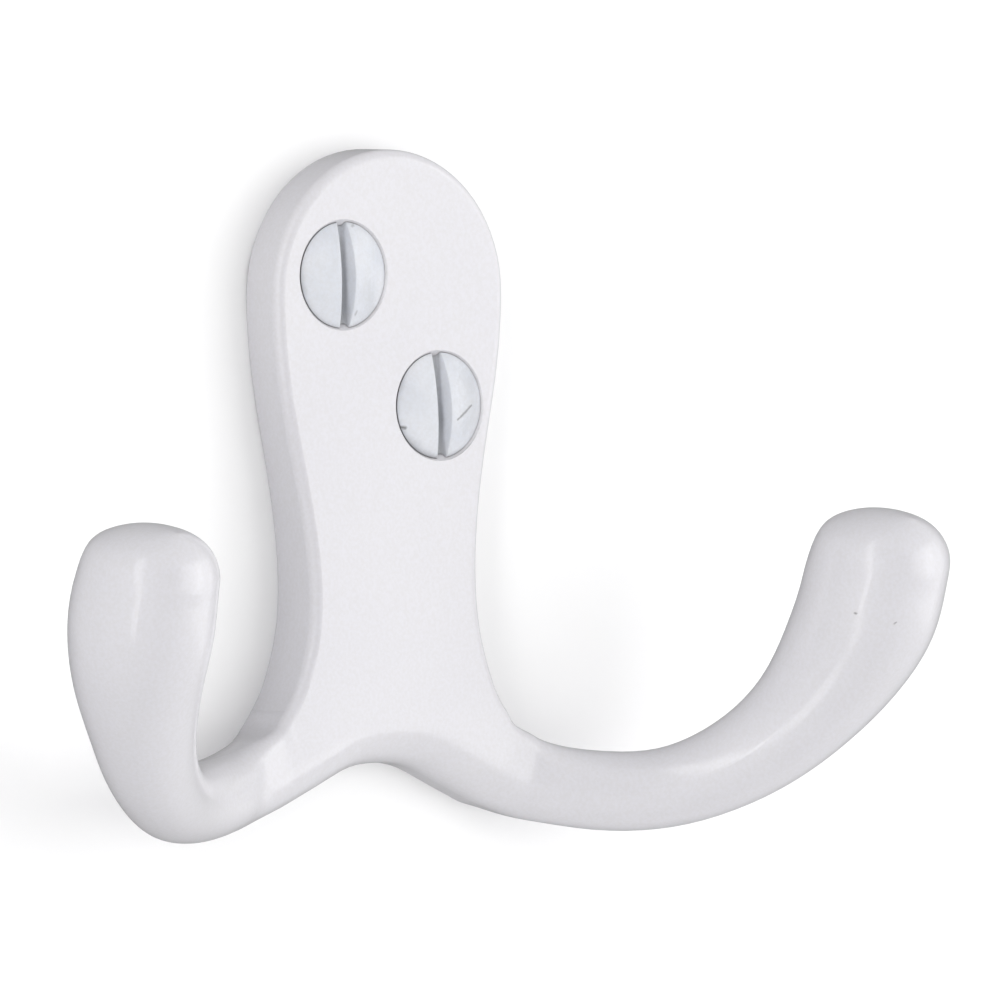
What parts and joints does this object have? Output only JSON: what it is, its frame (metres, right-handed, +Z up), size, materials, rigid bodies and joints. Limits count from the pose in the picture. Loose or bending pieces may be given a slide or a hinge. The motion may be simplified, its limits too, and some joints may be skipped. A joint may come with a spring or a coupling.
{
  "type": "double wall hook",
  "caption": "White painted cast hook for coats or towels: round-topped back plate with a prong curving out and up on each side, fixed by slotted screws.",
  "frame": {"origin": "on the wall, at the middle of the line between the axes of both screws", "axes": "+Z up, +Y into the wall along the screws, -Y out into the room, +X to the right seen from the room"},
  "size_m": [0.0756, 0.0447, 0.0487],
  "materials": {
    "white_enamel": "satin white enamel on cast aluminium",
    "screw_enamel": "white enamelled steel"
  },
  "bodies": {
    "root": {"hook_body": "white_enamel", "upper_screw": "screw_enamel", "lower_screw": "screw_enamel"}
  },
  "joints": []
}
